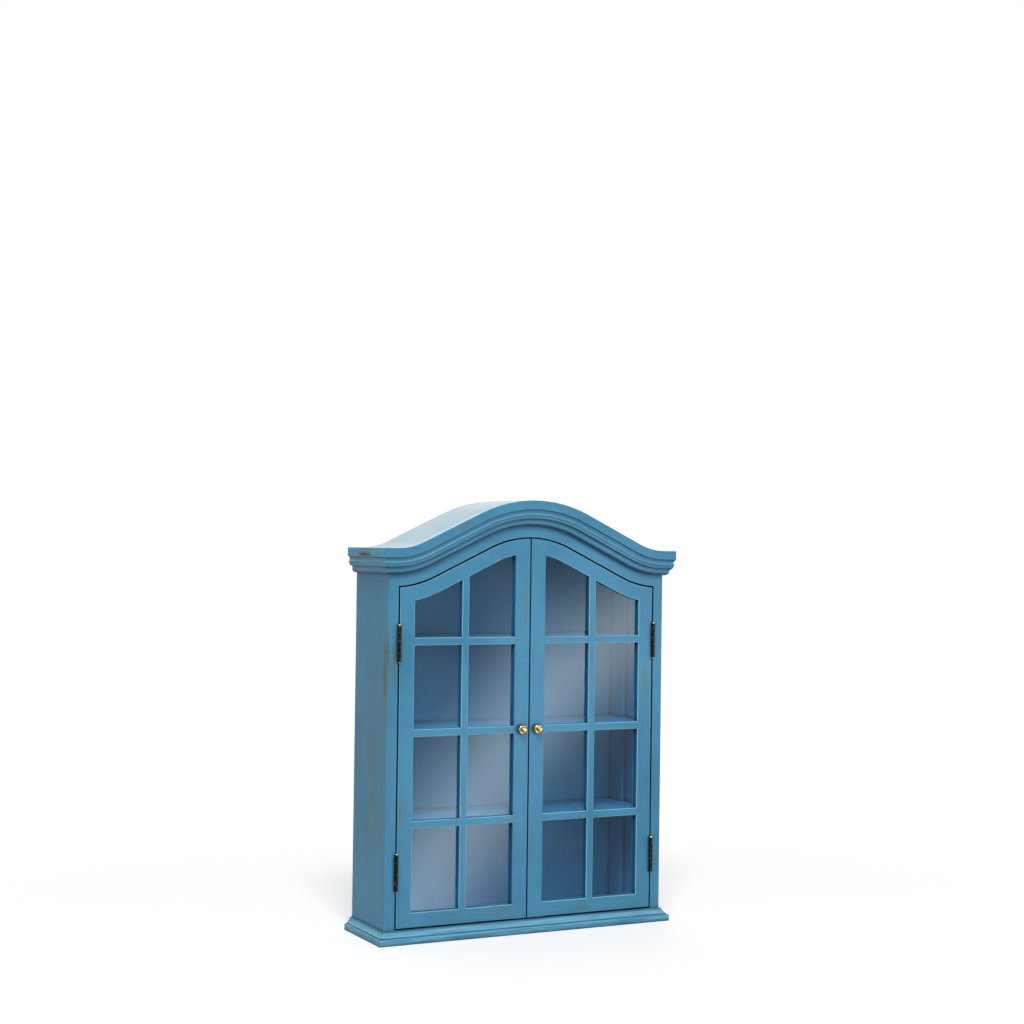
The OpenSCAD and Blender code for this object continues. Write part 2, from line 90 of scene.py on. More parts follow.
for side in ("left", "right"):
    EASED.update({f"{side}_{part}": width for part, width in DOOR_EASED.items()})
GLASS_NODES = ("left_glass", "right_glass")

# Easing: what counts as one place, one plane, touching, near a corner, in a gap, sharp or smooth
SAME_PLACE = 0.002 * MM
SAME_PLANE = math.radians(0.4)
CUT_SNAP = 0.01 * MM
CUT_DIGITS = 3
TOUCH = 0.06 * MM
BEDDED_REACH = 5 * TOUCH
NEAR_CORNER = 0.6 * MM
GAP_REACH = 2.0 * MM
SHARP_ANGLE = math.radians(32)
SMOOTH_ANGLE = math.radians(34)
TURNED_IN = math.cos(math.radians(30))
EASING_FACETS = 3
ROUND_PROFILE = 0.5

# Which way the brush went on each piece; the rest were brushed upright
BRUSHED_ACROSS = (
    "base_board", "arch_header", "top_panel", "crown_front", "shelf", "rail", "cross_bars",
    "catch_block",
)
BRUSHED_BACK = ("crown_return",)
ALONG_BRUSH = 0.05
ACROSS_BRUSH = 1.0

# Pieces painted lighter on their upper faces and darker on their under faces as if lit from above, and
# pieces shut away from wear, which also get no painted arris highlight
TOP_LIT_MOULDINGS = ("crown", "base_board")
INNER = ("shelf", "rear_post", "catch_block", "glass_stops", "back_panel")

# Pieces whose paint has worn paler along the brush strokes, and by how much
FADED = {"base_board": 0.55, "left_crown_return": 0.35}

# Places where the paint is rubbed through: node, centre and reach along x, y, z in mm, strength
RUBS = (
    ("left_side", (-165, -38, 278), (5, 12, 100), 0.8),
    ("left_side", (-165, -27, 110), (5, 11, 44), 0.62),
    ("left_side", (-165, 0, 200), (5, 90, 320), 0.4),
    ("left_side", (-164.6, -44, 374), (1.0, 1.6, 20), 1.4),
    ("left_side", (-164.6, -44, 300), (1.0, 1.6, 48), 1.3),
    ("left_side", (-158, -44, 283), (5, 3, 46), 0.72),
    ("left_crown_return", (-176, -4, 403), (5, 30, 5), 1.3),
    ("left_crown_return", (-174, -20, 398), (6, 40, 14), 0.45),
    ("left_hinge_stile", (-147.5, -44, 138), (6, 3, 34), 0.62),
    ("left_meeting_stile", (-8.5, -44, 352), (7, 3, 56), 0.62),
    ("left_cross_bars", (-32, -44, 216.5), (18, 3, 7), 0.62),
    ("left_cross_bars", (-22, -44, 121.5), (10, 3, 6), 0.6),
    ("left_bottom_rail", (-36, -44, 25), (26, 3, 8), 0.66),
    ("right_top_rail", (62, -44, 380), (30, 3, 12), 0.55),
    ("right_hinge_stile", (144, -44, 262), (8, 3, 38), 0.6),
    ("right_meeting_stile", (4.5, -44, 98), (5, 3, 44), 0.6),
    ("right_bottom_rail", (65, -44, 22), (18, 3, 6), 0.6),
    ("arch_header", (104, -44, 388), (15, 3, 7), 0.45),
    ("crown_front", (142, -55, 402.5), (6, 3, 3), 0.8),
    ("crown_front", (-84, -55, 434), (18, 3, 10), 0.6),
    ("base_board", (132, -51, 12), (44, 6, 5), 0.62),
)


def srgb(r, g, b):
    """A colour given as 0 to 255 on a screen, as Blender's linear colour."""
    def linear(v):
        v /= 255
        return v / 12.92 if v <= 0.04045 else ((v + 0.055) / 1.055) ** 2.4
    return (linear(r), linear(g), linear(b), 1.0)


PAINT_DEEP = srgb(52, 124, 162)
PAINT_PALE = srgb(67, 142, 178)
# Pale paint for the faded streaks, and for the painted highlight on arrises and on the upper faces of
# mouldings
HIGHLIGHT_AND_FADED_PAINT = srgb(136, 208, 232)
# Painted shade for hollows and under faces, and painted black shade for crevices and shut gaps
PAINTED_SHADE = srgb(20, 62, 92)
BLACK_SHADE = srgb(6, 12, 26)
OLIVE = srgb(90, 116, 100)
BARE_WOOD = srgb(94, 80, 48)
BRASS = srgb(250, 212, 144)
BRASS_DARK = srgb(172, 104, 36)
# Painted shade for the brass's grooves
BRASS_GROOVE_SHADE = srgb(78, 40, 12)
BRONZE = srgb(44, 36, 28)
BRONZE_RUBBED = srgb(132, 102, 62)
STEEL = srgb(176, 178, 182)
STEEL_DULL = srgb(120, 122, 128)
FERRITE = srgb(50, 50, 54)
FERRITE_PALE = srgb(78, 78, 82)
GLASS_TINT = srgb(233, 247, 255)
WHITE = (1.0, 1.0, 1.0, 1.0)

# Noise: how many octaves it holds, how coarse they are, and its middle value
MANY_OCTAVES = 4.0
SOME_OCTAVES = 3.0
FEW_OCTAVES = 2.0
SOFT = 0.5
COARSE = 0.6
NOISE_MIDDLE = 0.5

# Paint: scales of its noises per metre
STREAK_SCALE = 420.0
CLOUD_SCALE = 15.0
MOTTLE_SCALE = 90.0
GRAIN_SCALE = 700.0
RAGGED_SCALE = 160.0
WEAR_SCALE = 34.0

# Paint: how far each thing changes its tone, and the span of values over which that sets in
STREAK_TONE = 0.2
CLOUD_TONE = 0.4
GRAIN_TONE = 0.4
TONE_SPAN = (0.38, 0.62)
# Painted highlight: how pale the arrises are painted
ARRIS_HIGHLIGHT_TONE = 0.8
FADED_SPAN = (0.3, 0.7)
# Painted light from above on mouldings: how pale the upper faces are painted, how dark the under
# faces, and the spans of facing over which each sets in
UPPER_HIGHLIGHT_TONE = 0.3
UPPER_SPAN = (0.15, 0.8)
UNDER_SHADE_TONE = 0.85
UNDER_SPAN = (-0.1, -0.7)
WEAR_TONE = 0.6
WEAR_SPAN = (0.66, 0.72)

# Paint: its roughness and relief
PAINT_ROUGH = 0.3
CLOUD_ROUGH = 0.14
BARE_ROUGH = 0.3
STREAK_RELIEF = 0.5
GRAIN_RELIEF = 0.4
RUB_RELIEF = -0.6
PAINT_BUMP = 0.16
PAINT_DEPTH = 0.1 * MM

# Rubs: how they fade outwards, how they are broken up, and where paint is thin or gone
RUB_SPAN = (0.15, 1.0)
RAGGED_SPAN = (0.38, 0.62)
RAGGED_LOW = 0.25
RAGGED_HIGH = 1.25
STREAK_BREAK = 0.9
MOTTLE_BREAK = 0.7
INSIDE_SPAN = (0.0, 0.25)
THIN_TONE = 0.85
THIN_SPAN = (0.05, 0.9)
BARE_SPAN = (0.75, 1.15)

# Painted shade in hollows: how far it reaches out of a corner, how dark it is, and its share on inner
# pieces
HOLLOW_REACH = 6.0 * MM
HOLLOW_TONE = 0.85
INNER_SHARE = 0.6
OPENNESS_RAYS = 8

# Painted shade in hollows: how open a place is where it is painted darker, painted black, or painted
# black because it is in a shut gap
HOLLOW_SPAN = (0.42, 0.97)
CREVICE_SPAN = (0.15, 0.6)
SHUT_SPAN = (0.93, 0.998)

# Metals: scales of their noises per metre, roughness, patches and marks of handling
BRASS_SCALE = 160.0
BRONZE_SCALE = 420.0
STEEL_SCALE = 300.0
SCUFFS_PER_PATCH = 9
BRASS_ROUGH = 0.1
HARDWARE_ROUGH = 0.3
BRASS_PATCHES = (0.62, 0.8)
HARDWARE_PATCHES = (0.5, 0.68)
SCUFF_ROUGH = 0.2
SCUFF_BUMP = 0.1
SCUFF_DEPTH = 0.05 * MM
# Brass: the span of facing over which its sides get a painted darker reflection, and how far painted
# shade reaches into its grooves and where it sets in
BRASS_SIDE_SHADE_SPAN = (-0.75, 0.1)
GROOVE_SHADE_REACH = 2.0 * MM
GROOVE_SHADE_SPAN = (0.3, 0.95)
FERRITE_SCALE = 900.0
FERRITE_ROUGH = 0.55
FERRITE_BUMP = 0.2

GLASS_BEND = 1.65

# Turned knob, in millimetres: a seat on the door, a neck, a head and a button in front of it.
# Each stretch of its outline is part of a half round, from one angle to another in degrees.
SEAT_RADIUS = 4.1
SEAT_BEAD = 0.6
SEAT_ANGLE = 30.0
NECK_RADIUS = 3.3
HEAD_RADIUS = 4.98
HEAD_START = 2.0
HEAD_END = 5.6
COVE_RADIUS = 2.75
COVE_SWELL = 0.4
COVE_LIP = 0.1
BUTTON_RADIUS = 3.1
BUTTON_START = 6.8
BUTTON_END = 10.9
BUTTON_SHOULDER = 1.6
BUTTON_DOME = 2.4
WIDEST_ANGLE = 90.0
DOME_ANGLE = 170.0
ARC_STEPS = 10
KNOB_SIDES = 64
KNOB_CREASE = math.radians(50)

# Lamps: name, place, size, power in watts and tint
LAMPS = (
    ("key", (-0.7, -1.5, 2.2), (0.8, 0.8), 36.0, (1.0, 1.0, 1.0)),
    ("fill", (1.7, -1.6, 0.9), (1.4, 1.4), 8.0, (1.0, 1.0, 1.0)),
    ("left", (-2.0, -0.1, 0.9), (1.2, 1.2), 4.0, (1.0, 1.0, 1.0)),
    ("back", (0.5, 1.9, 1.25), (1.8, 1.0), 12.0, (1.0, 0.96, 0.88)),
)

# Light from the room round the lamps, and how far reflections of it go from that towards white
ROOM_LIGHT = 0.3
ROOM_SHEEN = 0.2

# White paper floor: its shades, its lift for the camera, and where it fades into the background
PAPER_DARK = (0.86, 0.86, 0.86, 1.0)
PAPER_PALE = (0.88, 0.88, 0.88, 1.0)
PAPER_SCALE = 300.0
FLOOR_HALF = 12.0
FLOOR_LIFT = 0.31
FLOOR_FADE = (0.3, 0.75)

# The room's light in the glass: a card with a soft pale band for each door, seen only in
# reflections. A card runs from one x to another; its band is turned, shifted and fades in reach.
CARD_Y = -0.35
CARD_HEIGHTS = (-0.05, 0.42)
CARD_POWER = 3.5
CARD_DIM = 0.5
CARD_COLOUR = srgb(219, 243, 255)
BANDS = {
    "left": {"from": 0.0, "to": 0.161, "turn": math.radians(54.5), "shift": 0.022, "reach": 0.072},
    "right": {
        "from": 0.161, "to": 0.33, "turn": math.radians(33.7), "shift": -0.084, "reach": 0.067,
    },
}


class Graph:
    """A node graph of a material or a world, built by calls that return sockets."""

    def __init__(self, owner):
        self.owner = owner
        self.owner.use_nodes = True
        self.tree = self.owner.node_tree
        self.tree.nodes.clear()

    def node(self, kind, inputs=None, **settings):
        made = self.tree.nodes.new(kind)
        for key, value in settings.items():
            setattr(made, key, value)
        for key, value in (inputs or {}).items():
            if isinstance(value, bpy.types.NodeSocket):
                self.tree.links.new(value, made.inputs[key])
            else:
                made.inputs[key].default_value = value
        return made

    def place(self):
        return self.node("ShaderNodeTexCoord").outputs["Object"]

    def facing(self, axis):
        """One part of the face's direction, in the piece's own frame."""
        normal = self.node("ShaderNodeTexCoord").outputs["Normal"]
        return self.node("ShaderNodeSeparateXYZ", {0: normal}).outputs[axis]

    def attribute(self, name):
        return self.node("ShaderNodeAttribute", attribute_name=name).outputs["Fac"]

    def ray(self, kind):
        return self.node("ShaderNodeLightPath").outputs[kind]

    def openness(self, reach):
        made = self.node("ShaderNodeAmbientOcclusion", {"Distance": reach}, samples=OPENNESS_RAYS)
        return made.outputs["AO"]

    def stretched(self, place, scale):
        return self.node("ShaderNodeMapping", {"Vector": place, "Scale": scale}).outputs[0]

    def noise(self, place, scale, detail=SOME_OCTAVES, roughness=SOFT):
        made = self.node(
            "ShaderNodeTexNoise",
            {"Vector": place, "Scale": scale, "Detail": detail, "Roughness": roughness},
        )
        return made.outputs["Fac"]

    def math(self, operation, a, b=0.0, c=0.0):
        return self.node("ShaderNodeMath", {0: a, 1: b, 2: c}, operation=operation).outputs[0]

    def times(self, a, b):
        return self.math("MULTIPLY", a, b)

    def scaled(self, value, by, plus):
        return self.math("MULTIPLY_ADD", value, by, plus)

    def vector(self, operation, a, b=(0.0, 0.0, 0.0), result=0):
        made = self.node("ShaderNodeVectorMath", {0: a, 1: b}, operation=operation)
        return made.outputs[result]

    def ramp(self, value, span, to_low=0.0, to_high=1.0):
        """A soft step over a span of values."""
        low, high = span
        made = self.node(
            "ShaderNodeMapRange",
            {"Value": value, "From Min": low, "From Max": high, "To Min": to_low, "To Max": to_high},
            interpolation_type="SMOOTHSTEP",
        )
        return made.outputs[0]

    def mix(self, factor, a, b):
        """A blend of two colours; 6, 7 and 2 are the node's sockets for colours."""
        made = self.node("ShaderNodeMix", {0: factor, 6: a, 7: b}, data_type="RGBA")
        return made.outputs[2]

    def bump(self, height, strength, distance):
        made = self.node(
            "ShaderNodeBump", {"Height": height, "Strength": strength, "Distance": distance}
        )
        return made.outputs[0]

    def emission(self, strength, colour=WHITE):
        return self.node("ShaderNodeEmission", {"Color": colour, "Strength": strength}).outputs[0]

    def shader_mix(self, factor, a, b):
        return self.node("ShaderNodeMixShader", {0: factor, 1: a, 2: b}).outputs[0]

    def principled(self, **inputs):
        named = {key.replace("_", " "): value for key, value in inputs.items()}
        return self.node("ShaderNodeBsdfPrincipled", named).outputs[0]

    def output(self, socket):
        in_world = isinstance(self.owner, bpy.types.World)
        kind = "ShaderNodeOutputWorld" if in_world else "ShaderNodeOutputMaterial"
        self.node(kind, {"Surface": socket})
        return self.owner


def new_material(name):
    return Graph(bpy.data.materials.new(name))


def named_in(node, words):
    return any(word in node for word in words)


def brush_of(node):
    """Stretch of the brush marks: the short number runs along the stroke."""
    if named_in(node, BRUSHED_BACK):
        return (ACROSS_BRUSH, ALONG_BRUSH, ACROSS_BRUSH)
    if named_in(node, BRUSHED_ACROSS):
        return (ALONG_BRUSH, ACROSS_BRUSH, ACROSS_BRUSH)
    return (ACROSS_BRUSH, ACROSS_BRUSH, ALONG_BRUSH)


def rub_mask(graph, place, rubs):
    """How strongly the paint is rubbed at a place: the highest of the soft spots there."""
    total = 0.0
    for centre, reach, strength in rubs:
        away = graph.vector("SUBTRACT", place, [part * MM for part in centre])
        in_reaches = graph.vector("DIVIDE", away, [part * MM for part in reach])
        far = graph.vector("LENGTH", in_reaches, result="Value")
        spot = graph.ramp(far, RUB_SPAN, to_low=strength, to_high=0.0)
        total = graph.math("MAXIMUM", total, spot)
    return total


def rubbed(graph, node, place, brushed, streaks):
    """Where the paint is thin, and where it is through to the wood."""
    rubs = [rub[1:] for rub in RUBS if rub[0] == node]
    ragged = graph.noise(brushed, RAGGED_SCALE, roughness=COARSE)
    broken = graph.ramp(ragged, RAGGED_SPAN, RAGGED_LOW, RAGGED_HIGH)
    rub = graph.times(rub_mask(graph, place, rubs), broken)
    mottle = graph.noise(place, MOTTLE_SCALE, MANY_OCTAVES, COARSE)
    streaked = graph.scaled(graph.math("SUBTRACT", streaks, NOISE_MIDDLE), STREAK_BREAK, rub)
    spotted = graph.scaled(graph.math("SUBTRACT", mottle, NOISE_MIDDLE), MOTTLE_BREAK, streaked)
    inside = graph.ramp(rub, INSIDE_SPAN)
    thin = graph.times(graph.ramp(spotted, THIN_SPAN, to_high=THIN_TONE), inside)
    bare = graph.times(graph.ramp(spotted, BARE_SPAN), inside)
    return thin, bare


def paint_light_and_shade_on_moulding(graph, colour):
    """Painted light from above: upper faces of a moulding are painted paler as a highlight, and those
    that face down are painted darker as shade.
    """
    up = graph.facing("Z")
    colour = graph.mix(graph.ramp(up, UPPER_SPAN, to_high=UPPER_HIGHLIGHT_TONE), colour, HIGHLIGHT_AND_FADED_PAINT)
    return graph.mix(graph.ramp(up, UNDER_SPAN, to_high=UNDER_SHADE_TONE), colour, PAINTED_SHADE)


def paint_shade_in_hollows(graph, colour, tone):
    """Painted shade: inner corners are painted softly darker, and narrow gaps are painted black while
    they are shut.
    """
    openness = graph.math("MAXIMUM", graph.openness(HOLLOW_REACH), graph.attribute("bedded"))
    soft_shade = graph.ramp(openness, HOLLOW_SPAN, to_low=tone, to_high=0.0)
    black = graph.ramp(openness, CREVICE_SPAN, to_low=1.0, to_high=0.0)
    covered = graph.ramp(openness, SHUT_SPAN, to_low=1.0, to_high=0.0)
    colour = graph.mix(soft_shade, colour, PAINTED_SHADE)
    colour = graph.mix(black, colour, BLACK_SHADE)
    return graph.mix(graph.times(graph.attribute("gap"), covered), colour, BLACK_SHADE)


def paint(node):
    """Brushed satin paint over brown wood, rubbed through at the node's rubs and along its arrises,
    with a painted highlight on its arrises, painted light and shade on mouldings, and painted shade in
    its hollows and shut gaps.
    """
    graph = new_material(f"paint_{node}")
    place = graph.place()
    brushed = graph.stretched(place, brush_of(node))
    streaks = graph.noise(brushed, STREAK_SCALE, MANY_OCTAVES, COARSE)
    cloud = graph.noise(place, CLOUD_SCALE)
    grain = graph.noise(place, GRAIN_SCALE, FEW_OCTAVES, COARSE)
    inner = named_in(node, INNER)
    edge = 0.0 if inner else graph.attribute("arris")

    tone = graph.scaled(streaks, STREAK_TONE, graph.times(cloud, CLOUD_TONE))
    tone = graph.scaled(grain, GRAIN_TONE, tone)
    colour = graph.mix(graph.ramp(tone, TONE_SPAN), PAINT_DEEP, PAINT_PALE)
    faded = graph.ramp(streaks, FADED_SPAN, to_high=FADED.get(node, 0.0))
    # Painted highlight along the arrises, together with the paint faded along the brush strokes
    pale = graph.math("MAXIMUM", faded, graph.times(edge, ARRIS_HIGHLIGHT_TONE))
    colour = graph.mix(pale, colour, HIGHLIGHT_AND_FADED_PAINT)
    # Painted highlight on the upper faces and painted shade on the under faces of mouldings
    if named_in(node, TOP_LIT_MOULDINGS):
        colour = paint_light_and_shade_on_moulding(graph, colour)
    thin, bare = rubbed(graph, node, place, brushed, streaks)
    colour = graph.mix(thin, colour, OLIVE)
    colour = graph.mix(bare, colour, BARE_WOOD)
    worn = graph.ramp(graph.noise(place, WEAR_SCALE), WEAR_SPAN, to_high=WEAR_TONE)
    colour = graph.mix(graph.times(edge, worn), colour, BARE_WOOD)
    # Painted shade in hollows, and painted black in crevices and shut gaps
    colour = paint_shade_in_hollows(graph, colour, HOLLOW_TONE * (INNER_SHARE if inner else 1.0))

    rough = graph.scaled(bare, BARE_ROUGH, graph.scaled(cloud, CLOUD_ROUGH, PAINT_ROUGH))
    relief = graph.scaled(streaks, STREAK_RELIEF, graph.times(grain, GRAIN_RELIEF))
    relief = graph.scaled(thin, RUB_RELIEF, relief)
    return graph.output(graph.principled(
        Base_Color=colour, Roughness=rough, Normal=graph.bump(relief, PAINT_BUMP, PAINT_DEPTH)
    ))


def patchy(graph, ground, patches, scale, span):
    """A ground colour with patches of another."""
    cloud = graph.noise(graph.place(), scale, MANY_OCTAVES, COARSE)
    return graph.mix(graph.ramp(cloud, span), ground, patches)


def handled_metal(graph, colour, rough, scale):
    """Bare metal of one colour with fine handling marks."""
    scuff = graph.noise(graph.place(), scale * SCUFFS_PER_PATCH, roughness=COARSE)
    return graph.output(graph.principled(
        Base_Color=colour,
        Metallic=1.0,
        Roughness=graph.scaled(scuff, SCUFF_ROUGH, rough),
        Normal=graph.bump(scuff, SCUFF_BUMP, SCUFF_DEPTH),
    ))


def brass_material():
    """Polished brass, painted redder and darker round its sides as a reflection, and painted dark in
    its grooves as shade.
    """
    graph = new_material("polished_brass")
    colour = patchy(graph, BRASS, BRASS_DARK, BRASS_SCALE, BRASS_PATCHES)
    # Painted darker reflection round the sides, then painted shade in the grooves
    colour = graph.mix(graph.ramp(graph.facing("Y"), BRASS_SIDE_SHADE_SPAN), colour, BRASS_DARK)
    groove = graph.ramp(graph.openness(GROOVE_SHADE_REACH), GROOVE_SHADE_SPAN, to_low=1.0, to_high=0.0)
    colour = graph.mix(groove, colour, BRASS_GROOVE_SHADE)
    return handled_metal(graph, colour, BRASS_ROUGH, BRASS_SCALE)


def hardware_material(name, ground, patches, scale):
    """Handled bronze or plated steel, with patches where it is rubbed or dull."""
    graph = new_material(name)
    colour = patchy(graph, ground, patches, scale, HARDWARE_PATCHES)
    return handled_metal(graph, colour, HARDWARE_ROUGH, scale)


def magnet_material():
    """Dark grainy ferrite."""
    graph = new_material("ferrite_magnet")
    grain = graph.noise(graph.place(), FERRITE_SCALE)
    return graph.output(graph.principled(
        Base_Color=graph.mix(grain, FERRITE, FERRITE_PALE),
        Roughness=FERRITE_ROUGH,
        Normal=graph.bump(grain, FERRITE_BUMP, SCUFF_DEPTH),
    ))


def glass_material():
    """Clear glass that mirrors the room once, where light enters it, and casts no dark shadow."""
    graph = new_material("door_glass")
    clear = {"Color": GLASS_TINT, "Roughness": 0.0, "IOR": GLASS_BEND}
    entered = graph.principled(
        Base_Color=GLASS_TINT, Roughness=0.0, Transmission_Weight=1.0, IOR=GLASS_BEND
    )
    left = graph.node("ShaderNodeBsdfRefraction", clear).outputs[0]
    from_inside = graph.node("ShaderNodeNewGeometry").outputs["Backfacing"]
    solid = graph.shader_mix(from_inside, entered, left)
    through = graph.node("ShaderNodeBsdfTransparent", {"Color": GLASS_TINT}).outputs[0]
    return graph.output(graph.shader_mix(graph.ray("Is Shadow Ray"), solid, through))


def body_of(node):
    bodies = frame["record"]["behaviour"]["bodies"]
    return next(name for name, nodes in bodies.items() if node in nodes)


def slot_of(node):
    subparts = frame["record"]["subparts"]
    return next(subpart["material_slot"] for subpart in subparts if subpart["node"] == node)


def meshes_near(node, reach, same_body):
    """Meshes whose boxes come within reach of this node's, on its own body or on the others."""
    low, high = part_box(node)
    found = []
    for other, thing in frame["nodes"].items():
        if other == node or (body_of(other) == body_of(node)) != same_body:
            continue
        other_low, other_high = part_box(other)
        apart = any(
            other_low[axis] >= high[axis] + reach or other_high[axis] <= low[axis] - reach
            for axis in range(3)
        )
        if not apart:
            found.append(thing.data)
    return found


def search_trees(meshes):
    return [
        BVHTree.FromPolygons(
            [vertex.co for vertex in mesh.vertices], [face.vertices for face in mesh.polygons]
        )
        for mesh in meshes
    ]


def near_any(trees, place, reach):
    return any(tree.find_nearest(place, reach)[0] for tree in trees)


def sharp_edges(shape):
    return [
        edge for edge in shape.edges
        if len(edge.link_faces) == 2 and edge.calc_face_angle(0.0) > SHARP_ANGLE
    ]


def corners_near(shape, neighbours):
    """The neighbours' corners that touch the piece, each place once."""
    tree = BVHTree.FromBMesh(shape)
    found = {}
    for mesh in neighbours:
        for vertex in mesh.vertices:
            key = tuple(round(part / TOUCH) for part in vertex.co)
            if key not in found and tree.find_nearest(vertex.co, TOUCH)[0]:
                found[key] = vertex.co
    return found.values()


def cut_where_joints_meet(shape, neighbours):
    """Cuts the faces across wherever a neighbour's corner lies along a sharp edge."""
    corners = corners_near(shape, neighbours)
    cuts = {}
    for edge in sharp_edges(shape):
        start, end = (vertex.co for vertex in edge.verts)
        along = (end - start).normalized()
        length = (end - start).length
        if length <= 2 * NEAR_CORNER:
            continue
        for corner in corners:
            reach = (corner - start).dot(along)
            off_line = (corner - start - along * reach).length
            if off_line < TOUCH and NEAR_CORNER < reach < length - NEAR_CORNER:
                key = tuple(round(part, CUT_DIGITS) for part in (*along, corner.dot(along)))
                cuts[key] = (corner, along)
    for place, along in cuts.values():
        everything = [*shape.verts, *shape.edges, *shape.faces]
        bmesh.ops.bisect_plane(
            shape, geom=everything, plane_co=place, plane_no=along, dist=CUT_SNAP
        )


def free_edges(shape, neighbours):
    """Sharp edges that no neighbouring piece is butted against."""
    trees = search_trees(neighbours)
    free = []
    for edge in sharp_edges(shape):
        middle = (edge.verts[0].co + edge.verts[1].co) / 2
        if not near_any(trees, middle, TOUCH):
            free.append(edge)
    return free


def slim_faces(faces, width):
    """Of the faces that easing made or changed, the ones that are narrower than the easing."""
    slim = set()
    for face in faces:
        longest = max(edge.calc_length() for edge in face.edges)
        if face.calc_area() < width * longest:
            slim.add(face)
    return slim


def mark_faces(shape, node, slim):
    """Marks arrises, which are worn and get a painted highlight; faces in a gap beside another body,
    which are painted black as shade while shut; and faces bedded on glass, which get no painted shade.
    """
    arris = shape.faces.layers.float["arris"]
    gap = shape.faces.layers.float["gap"]
    bedded = shape.faces.layers.float["bedded"]
    across = search_trees(meshes_near(node, GAP_REACH, same_body=False))
    glasses = [glass for glass in GLASS_NODES if body_of(glass) == body_of(node)]
    panes = search_trees([frame["nodes"][glass].data for glass in glasses])
    for face in shape.faces:
        centre = face.calc_center_median()
        if face in slim:
            beside_gap = near_any(across, centre, GAP_REACH)
            face[gap] = float(beside_gap and abs(face.normal.y) < TURNED_IN)
            face[arris] = 1.0 - face[gap]
        faced = any(tree.ray_cast(centre, face.normal, GAP_REACH)[0] for tree in across)
        face[gap] = max(face[gap], float(faced))
        face[bedded] = float(near_any(panes, centre, BEDDED_REACH))


def set_shading(shape, slim):
    """Smooth shading along curves and easings that leaves the flat faces beside them flat."""
    for face in shape.faces:
        face.smooth = True
    for edge in shape.edges:
        if len(edge.link_faces) == 2:
            leaves_easing = (edge.link_faces[0] in slim) != (edge.link_faces[1] in slim)
            edge.smooth = not leaves_easing and edge.calc_face_angle(0.0) < SMOOTH_ANGLE


def eased_piece(node, width):
    """A copy of a node with its arrises eased, which replaces it and rides on its body."""
    shape = bmesh.new()
    shape.from_mesh(frame["nodes"][node].data)
    bmesh.ops.remove_doubles(shape, verts=shape.verts, dist=SAME_PLACE)
    bmesh.ops.dissolve_limit(
        shape, angle_limit=SAME_PLANE, verts=shape.verts, edges=shape.edges
    )
    neighbours = meshes_near(node, TOUCH, same_body=True)
    cut_where_joints_meet(shape, neighbours)
    for layer in ("arris", "gap", "bedded"):
        shape.faces.layers.float.new(layer)
    made = bmesh.ops.bevel(
        shape, geom=free_edges(shape, neighbours), offset=width, segments=EASING_FACETS,
        profile=ROUND_PROFILE, affect="EDGES", clamp_overlap=True,
    )
    slim = slim_faces(made["faces"], width)
    mark_faces(shape, node, slim)
    set_shading(shape, slim)
    mesh = bpy.data.meshes.new(f"eased_{node}")
    shape.to_mesh(mesh)
    shape.free()
    return stand_in(f"painted_{node}", mesh, node)


def stand_in(name, mesh, node):
    """Puts a mesh in the place of a node, on the node's body, and hides the node."""
    piece = bpy.data.objects.new(name, mesh)
    bpy.context.scene.collection.objects.link(piece)
    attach(piece, body_of(node))
    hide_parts(node)
    return piece


def bulge(inner, outer, start, end, first=0.0, last=180.0):
    """Part of a half round between two heights, as points of (radius, height)."""
    points = []
    for step in range(ARC_STEPS + 1):
        turn = math.radians(first + (last - first) * step / ARC_STEPS)
        radius = inner + (outer - inner) * math.sin(turn)
        points.append((radius, (start + end) / 2 - math.cos(turn) * (end - start) / 2))
    return points


def knob_outline():
    """The knob's outline from the door's face outwards."""
    bead = SEAT_RADIUS - SEAT_BEAD
    seat = bulge(bead, SEAT_RADIUS, 0.0, 2 * SEAT_BEAD, first=SEAT_ANGLE)
    head = bulge(NECK_RADIUS, HEAD_RADIUS, HEAD_START, HEAD_END)
    cove = bulge(COVE_RADIUS, COVE_RADIUS + COVE_SWELL, HEAD_END + COVE_LIP, BUTTON_START)
    button = bulge(
        COVE_RADIUS, BUTTON_RADIUS, BUTTON_START + COVE_LIP, BUTTON_END - BUTTON_SHOULDER,
        last=WIDEST_ANGLE,
    )
    dome = bulge(
        0.0, BUTTON_RADIUS, BUTTON_END - 2 * BUTTON_DOME, BUTTON_END,
        first=WIDEST_ANGLE, last=DOME_ANGLE,
    )
    return seat + head + cove + button + dome


def lathed(outline, centre_x, door_y, centre_z):
    """Points and faces of an outline turned round an axis that runs forward out of the door."""
    points = []
    for radius, out in outline:
        for side in range(KNOB_SIDES):
            turn = 2 * math.pi * side / KNOB_SIDES
            points.append((
                centre_x + radius * MM * math.cos(turn), door_y - out * MM,
                centre_z + radius * MM * math.sin(turn),
            ))
    rings = [range(start, start + KNOB_SIDES) for start in range(0, len(points), KNOB_SIDES)]
    faces = []
    for ring, further in zip(rings, rings[1:]):
        for side in range(KNOB_SIDES):
            after = (side + 1) % KNOB_SIDES
            faces.append((ring[side], ring[after], further[after], further[side]))
    faces.append(tuple(rings[0])[::-1])
    faces.append(tuple(rings[-1]))
    return points, faces


def turned_knob(node):
    """A knob lathed from its outline round the middle of the node."""
    low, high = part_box(node)
    centre_x = (low.x + high.x) / 2
    centre_z = (low.z + high.z) / 2
    points, faces = lathed(knob_outline(), centre_x, high.y, centre_z)
    mesh = bpy.data.meshes.new(f"turned_{node}")
    mesh.from_pydata(points, [], faces)
    mesh.polygons.foreach_set("use_smooth", [True] * len(mesh.polygons))
    mesh.set_sharp_from_angle(angle=KNOB_CREASE)
    return stand_in(f"turned_{node}", mesh, node)


